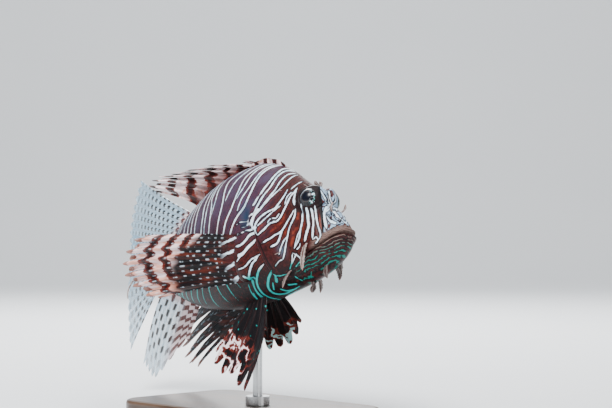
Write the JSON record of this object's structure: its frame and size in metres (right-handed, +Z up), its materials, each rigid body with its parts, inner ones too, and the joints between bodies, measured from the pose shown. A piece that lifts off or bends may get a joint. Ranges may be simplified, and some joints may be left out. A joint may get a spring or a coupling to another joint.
{
  "type": "lionfish model",
  "caption": "Red lionfish in mid-swim with banded skin, folded-back spines and wide ray fins, held on a flat wooden stand by one short metal rod.",
  "frame": {"origin": "centre of the stand base's underside", "axes": "+X towards the end where the fish's nose points, +Z up, +Y on the fish's left"},
  "size_m": [0.2934, 0.1036, 0.1701],
  "materials": {
    "fish_skin": "red-brown skin crossed by thin pale lines, moist sheen",
    "eyes": "dark, clear and wet, with a silver-green iris",
    "banded_fins": "red-brown and pinkish-white cross bands",
    "clear_fins": "thin clear membrane with pale rays and rows of black spots",
    "dark_fins": "near black with pinkish-white spots",
    "stand_wood": "dark stained, satin",
    "stand_metal": "brushed"
  },
  "bodies": {
    "root": {"head": "fish_skin", "lower_jaw": "fish_skin", "gill_cover_left": "fish_skin", "gill_cover_right": "fish_skin", "trunk": "fish_skin", "tail_base": "fish_skin", "eye_left": "eyes", "eye_right": "eyes", "spiny_dorsal_fin": "banded_fins", "breast_fin_left": "banded_fins", "breast_fin_right": "banded_fins", "soft_dorsal_fin": "clear_fins", "anal_fin": "clear_fins", "tail_fin": "clear_fins", "belly_fin_left": "dark_fins", "belly_fin_right": "dark_fins", "stand_base": "stand_wood", "stand_rod": "stand_metal", "stand_collar": "stand_metal"}
  },
  "joints": []
}
